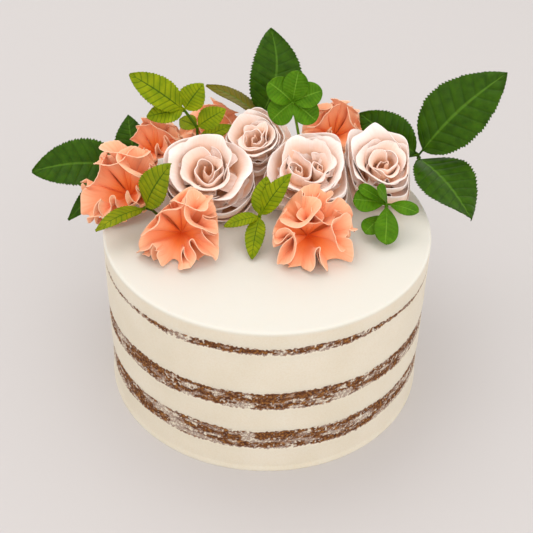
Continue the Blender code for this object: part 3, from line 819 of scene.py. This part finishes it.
# %% [markdown]
# ## A ruffled sheet
# Broad petals that are crimped, and the cup that the outer petals of a rose make together, are one
# closed sheet that starts at a pinch. It is folded with cosines of the turn: the folds deepen
# towards the rim and swing sideways, so that each fold closes a little.

# %% Ruffled sheet and the putting down of a flower
# A form is its size as a part of the flower's reach, in degrees the angle of its cone from the axis,
# its flare and the depth of its folds, then how far the folds close, how far the front is calmed and
# lowered, and how much the rim is frilled
CREASE_SHARPNESS = 1.3
UNEVEN_LOBES = 0.15
FRILL = math.radians(12.0)
CRUMPLE = math.radians(22.0)
FRONT_CALM = 0.1
FRONT_DROP = math.radians(20.0)
TOOTH_MM = 1.5

# Thickness of a petal, the part of it that is lost towards the rim, and where that starts
THINNING = {"rose_petal": (0.55, 0.45, 0.8), "coral_petal": (0.5, 0.3, 0.85)}


def saw(values):
    """Straight lines between 1 and 0 and back, once for every 2."""
    return np.abs(values % 2.0 - 1.0)


def ruffle_sheet(size, form, lobes, phase, front, rows, columns):
    """One ruffled sheet about +Z, closed on itself. Its polar angle is that of a cone that flares,
    plus a cosine of the turn for the folds, a faster one for the frill and noise for the crumple,
    which all grow towards the rim. The folds swing sideways, and the rim is uneven and toothed."""
    share, cone, flare, depth, closing, calmed, frilled = form
    cone, flare, depth = (math.radians(angle) for angle in (cone, flare, depth))
    size = share * size
    way = np.linspace(0.012, 1.0, rows)[:, None]
    turn = (2 * math.pi * np.arange(columns) / columns)[None, :]
    grown = way ** 1.3
    wave = lobes * turn + 0.8 * np.sin(turn + 2.0 * phase) + phase
    fold = 1.0 - 2.0 * (0.5 - 0.5 * np.cos(wave)) ** CREASE_SHARPNESS
    uneven = 1.0 + UNEVEN_LOBES * np.sin(turn + 3.1 * phase)
    frill = frilled * FRILL * way ** 3.0 * np.cos(2.0 * wave + 1.0 + phase + 1.5 * np.sin(2.0 * turn))
    facing = 0.5 + 0.5 * np.cos(turn - front)
    calm = 1.0 - FRONT_CALM * facing * calmed
    crumple = CRUMPLE * way * (noise(from_axis(1.0, turn, way + phase), 0.55, 62) - 0.5)
    polar = cone + FRONT_DROP * facing * calmed + flare * way ** 1.6
    polar = polar + depth * grown * fold * uneven * calm + frill + crumple
    around = turn + closing * grown * np.sin(wave) / lobes + 0.6 * frill * np.sin(3.0 * wave + phase)
    ragged = 0.08 * (noise(from_axis(1.0, turn[0], phase), 0.5, 61) - 0.5)
    ragged = ragged + 0.016 * saw(turn[0] * size / TOOTH_MM)
    reach = size * way * (1.0 + 0.10 * fold * grown + ragged * way ** 8)
    points = from_axis(reach * np.sin(polar), around, reach * np.cos(polar))
    return points, {"along": way, "across": 3 * turn}, True


def rim_places(across, stretch, seed):
    """Places for noise along a rim: a line for each seed."""
    return np.stack(np.broadcast_arrays(stretch * across, float(seed), 0.0), axis=-1)


def put_flower(name, rotation, seat, sheets, slot, material):
    """Turn a flower's sheets, seat them below the centre of its cell, fit them in the cell and make
    them thick. A sheet is its points, its values and whether it is closed on itself."""
    cell = cells[name]
    base = cell[0] - rotation @ np.array([0.0, 0.0, seat])
    thickness, lost, start = THINNING[slot]
    parts = []
    for points, values, closed in sheets:
        placed = fit_in_cell(points @ rotation.T + base, cell)
        taper = thickness * (1.0 - lost * smooth((values["along"] - start) / (1.0 - start)))
        parts.append(skin(placed, taper, values, closed))
    put_down(name, parts, material)


# %% [markdown]
# ## Roses
# A garden rose is a rolled heart with petals set round it, each a golden turn on from the last, and
# each a little more open. One petal is bent twice: along its centre line, which leaves the base,
# turns up and curls out at the rim, and round the axis, which wraps it about the petals inside it.
# The five outer petals lie about where the CAD model has them, and the inner ones fill its heart.

# %% Rose petals and roses
OUTER_OPENNESS = (0.62, 0.74, 0.88, 1.02, 1.2)
INNER_OPENNESS = (0.54, 0.46, 0.38, 0.30, 0.22, 0.15)
ROSE_FULLNESS = 1.06
FULLER_OUTSIDE = 0.08
SIZE_WANDER = 0.04
TURN_WANDER = 0.2
GOLDEN_TURN = math.radians(137.5)
ROSE_SEAT = 0.52
CURVE_STEPS = 160

# Each rolled heart: how far right and back it is, and its width, as parts of the rose's reach
ONE_HEART = ((0.0, 0.0, 1.0),)
HEARTS = {"rose_centre": ((0.19, 0.03, 0.72), (-0.17, -0.02, 0.9))}
SCROLL_TURNS = 1.9

# Petals that have fallen open: the way each faces in degrees, how open it is, and its size
FALLEN = {"rose_front_left": ((-75.0, 0.96, 1.3),), "rose_centre": ((-30.0, 1.0, 1.2),)}

# Forms of the ruffled cups that close the rose below its petals, and how far they are lifted
ROSE_CUPS = (
    (0.72, 30, 6, 4, 0.2, 0.0, 0.3),
    (0.82, 50, 8, 5, 0.2, 0.0, 0.3),
    (0.94, 76, 6, 4, 0.2, 0.0, 0.2),
)
CUP_LIFT = 0.08
CUP_LOBES = 5
CUP_PHASE = 0.8

# Rows and columns of each kind of sheet
SCROLL_GRID = (22, 130)
PETAL_GRID = (28, 44)
CUP_GRID = (16, 200)


def rose_petal(size, openness, turn, seed, rows, columns):
    """One rose petal about +Z. Its radius and height are the running sums of the sine and cosine of
    an angle that starts out flat, rises to the petal's own angle and curls at the rim, more in some
    places than in others. The rim is ragged, and one side lies a little further out."""
    short = 0.80 + 0.20 * float(smooth(openness / 0.5))
    length = size * (0.98 + 0.16 * openness) * short
    breadth = size * (0.60 + 0.22 * openness)
    own_angle = math.radians(-7.0 + 56.0 * openness)
    way, across = grid(rows, columns, foot=0.16)
    rim = rim_places(across[0], 3.0, seed)
    fine = np.linspace(0.0, 1.0, CURVE_STEPS + 1)[:, None]
    angle = own_angle + (math.radians(82.0) - own_angle) * np.exp(-9.0 * fine)
    angle = angle + math.radians(16.0 + 14.0 * openness) * smooth((fine - 0.66) / 0.34)
    lip = math.radians(16.0 + 20.0 * openness) * (0.1 + 1.8 * noise(rim, 0.9, 54))
    angle = angle + lip * smooth((fine - 0.80) / 0.20)
    out = (np.cumsum(np.sin(angle), axis=0) - np.sin(angle[0])) * fine[1]
    up = (np.cumsum(np.cos(angle), axis=0) - np.cos(angle[0])) * fine[1]
    ragged = 0.13 * (noise(rim, 1.0, 51) - 0.5) + 0.03 * (noise(rim, 0.3, 52) - 0.5)
    reach = way * (1.0 - 0.24 * np.abs(across) ** 2.6 + 0.02 * (1 - across ** 2) ** 3)
    reach = np.clip(reach * (1.0 + ragged * way ** 3), 0.0, 1.0) * CURVE_STEPS
    step = np.minimum(reach.astype(int), CURVE_STEPS - 1)
    column = np.arange(columns)[None, :]
    out, up = (curve[step, column] + (reach - step) * (curve[step + 1, column] - curve[step, column])
               for curve in (out, up))
    radius = size * (0.03 + 0.10 * openness) + length * out
    wide = breadth * (0.12 + 0.88 * np.sin(0.5 * math.pi * np.minimum(1.0, 1.25 * way)))
    wrap = np.minimum(wide / np.maximum(radius, 0.16 * size), math.radians(100.0))
    ripple = 0.16 * size * way ** 3 * (noise(rim * 0.8, 1.0, 53) - 0.5)
    radius = radius * (1.0 + 0.10 * (1.0 - 0.8 * openness) * across) + ripple
    points = from_axis(radius, turn + wrap * across, length * up)
    # Painted glow of the depths: closed inner petals stay on the peach colours, and open outer ones
    # reach the pale ones
    painted_glow_scale = 0.76 + 0.24 * float(smooth(openness / 0.8))
    return points, {"along": way * painted_glow_scale, "across": across + seed}, False


def rose_scroll(size, width, middle, rows, columns):
    """The rolled heart: one sheet wound round the axis, wider at each turn. Its radius grows with
    the turn, bulges at half height and opens at the rim, and its rim dips and rises."""
    way, wound = grid(rows, columns, left=0.0)
    around = 2 * math.pi * SCROLL_TURNS * wound
    belly = 0.72 + 0.34 * np.sin(math.pi * way) + (0.75 * wound - 0.2) * smooth((way - 0.6) / 0.4)
    oval = 1.0 + 0.12 * np.cos(2.0 * around + 0.9) + 0.05 * np.sin(5.0 * around)
    radius = width * size * (0.05 + 0.22 * wound) * belly * oval
    dip = 0.07 * np.sin(0.9 * around + 1.0) + 0.03 * np.sin(3.3 * around)
    height = size * (0.25 + (0.44 + 0.12 * wound + dip) * way)
    points = from_axis(radius, around, height) + (middle[0], middle[1], 0.0)
    # Partly the heart's own peach and partly painted glow of the depths: the inner turns stay peach up
    # to their rim
    return points, {"along": 0.22 + (0.42 + 0.3 * wound) * way, "across": 4 * wound}, False


def build_rose(row):
    """One rose: its rolled hearts, its petals, the cups below them and the petals that have fallen
    open. A second heart takes the place of the two innermost petals."""
    name, _, reach, tilt, lean, first, opening = row
    rotation = flower_turn(tilt, lean, first)
    hearts = HEARTS.get(name, ONE_HEART)
    sheets = []
    for right, back, width in hearts:
        middle = rotation.T @ np.array([right, back, 0.0]) * reach
        sheets.append(rose_scroll(reach, width, middle, *SCROLL_GRID))
    inner = INNER_OPENNESS[:len(INNER_OPENNESS) + 2 - 2 * len(hearts)]
    petals = list(enumerate(OUTER_OPENNESS))
    petals += [(-1 - place, openness) for place, openness in enumerate(inner)]
    for number, openness in petals:
        size = (ROSE_FULLNESS + FULLER_OUTSIDE * openness) * reach
        size = size * (1.0 + SIZE_WANDER * math.sin(4.1 * number + 0.7 * first))
        turn = GOLDEN_TURN * number + TURN_WANDER * math.sin(2.3 * number + first)
        sheets.append(rose_petal(size, opening * openness, turn, first + 7 * number, *PETAL_GRID))
    for form in ROSE_CUPS:
        points, values, closed = ruffle_sheet(reach, form, CUP_LOBES, CUP_PHASE, 0.0, *CUP_GRID)
        sheets.append((points + (0.0, 0.0, CUP_LIFT * reach), values, closed))
    for facing, openness, size in FALLEN.get(name, ()):
        turn = math.radians(facing - first)
        sheets.append(rose_petal(size * reach, openness, turn, facing, *PETAL_GRID))
    put_flower(name, rotation, ROSE_SEAT * reach, sheets, "rose_petal", rose_material)


for row in ROSES:
    build_rose(row)

# %% [markdown]
# ## Ruffled blooms
# The coral blooms have wide petals that are crimped, and some are rolled into trumpets. Each bloom
# is a folded crown and a wavy skirt below it, both ruffled sheets, with rolled petals standing in
# the crown. All of them start at one pinch, and their rims are finely toothed, as with a carnation.

# %% Ruffled blooms
# Crown and skirt: form, phase, rows, and columns of one lobe
RUFFLED = (
    ((0.95, 47, 6, 19, 0.4, 0.5, 0.8), 0.4, 24, 74),
    ((1.0, 68, 6, 21, 0.4, 0.0, 0.8), 1.6, 22, 62),
)
BLOOM_SEAT = 0.22
TRUMPET_GRID = (24, 110)

# Blooms whose crown and skirt are smaller
TRIM = {"coral_front_right": (0.9, 0.72), "coral_front_left": (0.94, 0.86)}

# Rolled petals: how far to the side of the back each faces, its angle from the axis, its length as
# a part of the reach, and its half angle
TRUMPETS = (
    (-80, 37, 0.98, 15),
    (-28, 29, 1.08, 13),
    (26, 26, 1.0, 15),
    (82, 38, 0.95, 14),
)

# The same for the front right bloom, whose petals are shorter and stand all round its middle
GATHERED = (
    (60, 26, 0.74, 15),
    (6, 17, 0.56, 12),
    (-52, 30, 0.62, 13),
    (-112, 42, 0.8, 12),
    (130, 50, 0.85, 11),
)


def trumpet(size, polar, facing, half, seed, rows, columns):
    """One rolled petal that widens from the pinch to its rim. It is a part of a cone about its own
    slanted axis, open on the far side, and its angle grows towards the rim and the slit."""
    level = np.array([math.cos(facing), math.sin(facing), 0.0])
    side = np.array([-math.sin(facing), math.cos(facing), 0.0])
    tip = math.sin(polar) * level + (0.0, 0.0, math.cos(polar))
    away = math.cos(polar) * level - (0.0, 0.0, math.sin(polar))
    way = np.linspace(0.02, 1.0, rows)[:, None, None]
    across = np.linspace(-1.0, 1.0, columns)[None, :, None]
    rolled = math.radians(158.0) * across
    uneven = (noise(rim_places(across[0, :, 0], 2.2, seed), 0.8, 63) - 0.5)[None, :, None]
    ripple = 0.16 * np.sin(9.0 * across + seed) * way ** 4
    flare = 0.7 * way ** 5 + 0.4 * np.abs(across) ** 3 + 0.9 * uneven * way ** 2
    widening = half * (0.75 + 0.25 * way + flare + ripple)
    ragged = 0.16 * uneven + 0.012 * saw(across * size / TOOTH_MM)
    reach = size * way * (1.0 - 0.10 * across ** 2 + ragged * way ** 6)
    outward = side * np.sin(rolled) - away * np.cos(rolled)
    points = reach * (tip * np.cos(widening) + outward * np.sin(widening))
    return points, {"along": way[..., 0], "across": 2 * across[..., 0] + seed}, False


def build_bloom(row):
    """One ruffled bloom: the folded crown, the wavy skirt and the rolled petals from one pinch."""
    name, _, reach, tilt, lean, turn, lobes = row
    front = math.radians(-90.0 - turn)
    folds = lobes + 2
    sheets = []
    for trim, (form, phase, rows, columns) in zip(TRIM.get(name, (1.0, 1.0)), RUFFLED):
        sheets.append(ruffle_sheet(trim * reach, form, folds, phase, front, rows, columns * folds))
    rolled = GATHERED if name == "coral_front_right" else TRUMPETS
    for number, (aside, polar, share, half) in enumerate(rolled):
        facing = front + math.radians(180.0 + aside + 14.0 * math.sin(turn + number))
        sheets.append(trumpet(share * reach, math.radians(polar), facing, math.radians(half),
                              turn + 3.0 * number, *TRUMPET_GRID))
    rotation = flower_turn(tilt, lean, turn)
    put_flower(name, rotation, BLOOM_SEAT * reach, sheets, "coral_petal", coral_material)


for row in BLOOMS:
    build_bloom(row)

# %% [markdown]
# ## Leaves
# Two kinds of leaf are tucked between the flowers: broad dark ones and small yellow-green ones with
# dark veins. The blade is one surface from stalk to tip. Its side veins leave the midrib in pairs
# and run forward, so a vein is where a mix of along and across comes to a whole number, and the same
# mix gives the pucker in the mesh and the lines in the material.

# %% Leaf materials
LEAF_GLOSS = 0.1
LEAF_BLOT_MM = 6.0
AGED_TONE = "#7a6a1c"


def make_leaf(name, blade, vein, rib, roughness, vein_strength):
    """A leaf: blade colour with blotches, olive where it has aged, side veins in pairs that are also
    its bump, a midrib, and a soft gloss."""
    material, tree = new_material(name, {
        "Roughness": roughness,
        "IOR": 1.45,
        "Subsurface Weight": 0.1,
        "Subsurface Scale": 0.001,
        "Specular IOR Level": LEAF_GLOSS,
    })
    along = read(tree, "along")
    outward = reckon(tree, "ABSOLUTE", read(tree, "across"))
    blotches = clouds(tree, place_on(tree), LEAF_BLOT_MM, 4.0)
    green = ramp(tree, blotches, ((0.3, blade[0]), (0.7, blade[1])))
    toned = blend(tree, read(tree, "aged"), green, linear(AGED_TONE))
    slant = reckon(tree, "MULTIPLY_ADD", along, -VEIN_BEND, 1.0)
    forward = reckon(tree, "MULTIPLY", outward, slant)
    paired = reckon(tree, "MULTIPLY", along, VEIN_PAIRS)
    mixed = reckon(tree, "MULTIPLY_ADD", forward, -VEIN_LEAN, paired)
    line = rise(tree, reckon(tree, "PINGPONG", mixed, 0.5), 0.16, 0.02, kind="SMOOTHSTEP")
    veined = blend(tree, reckon(tree, "MULTIPLY", line, vein_strength), toned, linear(vein))
    spine = rise(tree, outward, 0.07, 0.02, kind="SMOOTHSTEP")
    colour = blend(tree, spine, veined, linear(rib))
    finish_shader(tree, colour, line, 0.4, 0.3, invert=True)
    return material


dark_leaf = make_leaf("broad_leaf_dark", ("#294706", "#3a5e09"), "#1f3a05", "#4d731c", 0.34, 0.3)
light_leaf = make_leaf("small_leaf_yellow_green", ("#6e8306", "#919c0a"), "#4a6606", "#435f08", 0.5, 0.7)
green_leaf = make_leaf("small_leaf_green", ("#406b08", "#588610"), "#335c08", "#6a9428", 0.45, 0.25)
print("materials:", dark_leaf.name, light_leaf.name, green_leaf.name)

# %% Build the sprigs
LEAF_THICKNESS = 0.5
LEAF_TOOTH_DEPTH = 0.10
PUCKER = 0.012
STEM_RADIUS = 0.9
STEM_SIDES = 14
LARGE_LEAF_MM = 20
LARGE_LEAF_GRID = (110, 45)
SMALL_LEAF_GRID = (80, 31)
SMOOTH_EDGED = ("sprig_round", "sprig_front_right")

# How far some leaflets have turned olive, by sprig and place in its row
AGED_LEAFLETS = {("leaf_back", 1): 0.75, ("sprig_front_left", 1): 0.2, ("sprig_front_left", 0): 0.15}


def stem_tube(stem):
    """A round stem along its points: rings of points across it, drawn together at both ends."""
    route = above_top(stem)
    marks = np.linspace(0, len(route) - 1, 6 * len(route))
    line = np.stack([np.interp(marks, np.arange(len(route)), route[:, axis]) for axis in range(3)], 1)
    heading = np.gradient(line, axis=0)
    heading /= np.linalg.norm(heading, axis=1, keepdims=True)
    side = np.cross(heading, (0.31, 0.95, 0.0))
    side /= np.linalg.norm(side, axis=1, keepdims=True)
    other = np.cross(heading, side)
    turn = (2 * math.pi * np.arange(STEM_SIDES) / STEM_SIDES)[None, :, None]
    rings = line[:, None] + STEM_RADIUS * (np.cos(turn) * side[:, None] + np.sin(turn) * other[:, None])
    ends = np.repeat(line[[0, -1], None], STEM_SIDES, axis=1)
    points = np.concatenate([ends[:1], rings, ends[1:]])
    values = {key: np.zeros(points.shape[0] * STEM_SIDES) for key in ("along", "across", "aged")}
    return points.reshape(-1, 3), grid_quads(len(points), STEM_SIDES, 0, True), values


def build_sprig(name, stem, leaflets):
    """One sprig: its stem and its leaflets, each with teeth unless its outline is a smooth one."""
    smooth_edged = name in SMOOTH_EDGED
    teeth = 0.0 if smooth_edged else LEAF_TOOTH_DEPTH
    parts = [stem_tube(stem)]
    for number, leaflet in enumerate(leaflets):
        width = leaflet[2]
        size = LARGE_LEAF_GRID if width > LARGE_LEAF_MM else SMALL_LEAF_GRID
        surface = leaf_surface(stem, leaflet, *size, teeth, PUCKER * width)
        way, across = grid(*size)
        aged = AGED_LEAFLETS.get((name, number), 0.0)
        values = {"along": past_stalk(way), "across": across, "aged": aged}
        parts.append(skin(surface, LEAF_THICKNESS, values))
    if name.startswith("leaf"):
        put_down(name, parts, dark_leaf)
    else:
        put_down(name, parts, green_leaf if smooth_edged else light_leaf)


for name, (stem, *leaflets) in SPRIGS.items():
    build_sprig(name, stem, leaflets)

# %% [markdown]
# ## Floor, light and camera
# The cake stands on a plain pale floor under soft daylight, with a broad lamp above it and another
# in front. The camera looks down by about 39 degrees, as the photograph does, from 0.7 metres away,
# and is rolled by a little over one degree.

# %% Floor and lights
FLOOR_HALF = 3.0


def make_floor():
    """A wide flat floor in a plain pale grey."""
    corners = [(x * FLOOR_HALF, y * FLOOR_HALF, 0.0) for x, y in ((-1, -1), (1, -1), (1, 1), (-1, 1))]
    mesh = bpy.data.meshes.new("floor")
    mesh.from_pydata(corners, [], [(0, 1, 2, 3)])
    made = bpy.data.objects.new("floor", mesh)
    bpy.context.scene.collection.objects.link(made)
    sockets = {"Roughness": 0.6, "Base Color": linear("#c9c5c5")}
    mesh.materials.append(new_material("pale_floor", sockets)[0])


def view_matrix(right, back, place):
    """The matrix of a camera or lamp from its right direction, the way it looks from, and place."""
    up = np.cross(back, right)
    rows = [[right[axis], up[axis], back[axis], place[axis]] for axis in range(3)]
    return mathutils.Matrix(rows + [[0.0, 0.0, 0.0, 1.0]])


def add_area(name, place, size, power):
    """A square area lamp at a place, turned to look at the top of the cake."""
    data = bpy.data.lights.new(name, "AREA")
    data.shape = "SQUARE"
    data.size = size
    data.energy = power
    lamp = bpy.data.objects.new(name, data)
    bpy.context.scene.collection.objects.link(lamp)
    back = unit(np.array(place) - (0.0, 0.0, CAKE_HEIGHT * MM))
    right = unit(np.cross((0.0, 1.0, 0.001), back))
    lamp.matrix_world = view_matrix(right, back, place)


make_floor()
add_area("lamp_above", (-0.35, 0.25, 1.5), 1.2, 4.9)
add_area("lamp_front", (0.35, -1.25, 1.0), 1.5, 5.2)
world = bpy.data.worlds.new("soft_daylight")
world.use_nodes = True
sky = world.node_tree.nodes["Background"]
sky.inputs["Color"].default_value = linear("#faf7f3")
sky.inputs["Strength"].default_value = 1.1
bpy.context.scene.world = world
bpy.context.scene.view_settings.view_transform = "Standard"

# %% Camera
CAMERA_ELEVATION = math.radians(38.9265)
CAMERA_ROLL = math.radians(1.3579)
CAMERA_DISTANCE = 7.0 * CAKE_RADIUS * MM
CAMERA_TARGET = (0.0, 0.0, 0.7771 * CAKE_RADIUS * MM)
FOCAL_PIXELS = 1111.26
FRAME_PIXELS = 533.0
SENSOR_WIDTH = 36.0

camera_data = bpy.data.cameras.new("photo_view")
camera_data.sensor_width = SENSOR_WIDTH
camera_data.lens = SENSOR_WIDTH * FOCAL_PIXELS / FRAME_PIXELS
camera = bpy.data.objects.new("photo_view", camera_data)
bpy.context.scene.collection.objects.link(camera)
back = np.array([0.0, -math.cos(CAMERA_ELEVATION), math.sin(CAMERA_ELEVATION)])
level = np.array([1.0, 0.0, 0.0])
right = math.cos(CAMERA_ROLL) * level + math.sin(CAMERA_ROLL) * np.cross(back, level)
camera.matrix_world = view_matrix(right, back, np.array(CAMERA_TARGET) + CAMERA_DISTANCE * back)
bpy.context.scene.camera = camera
print("lens:", round(camera_data.lens, 2), "mm")
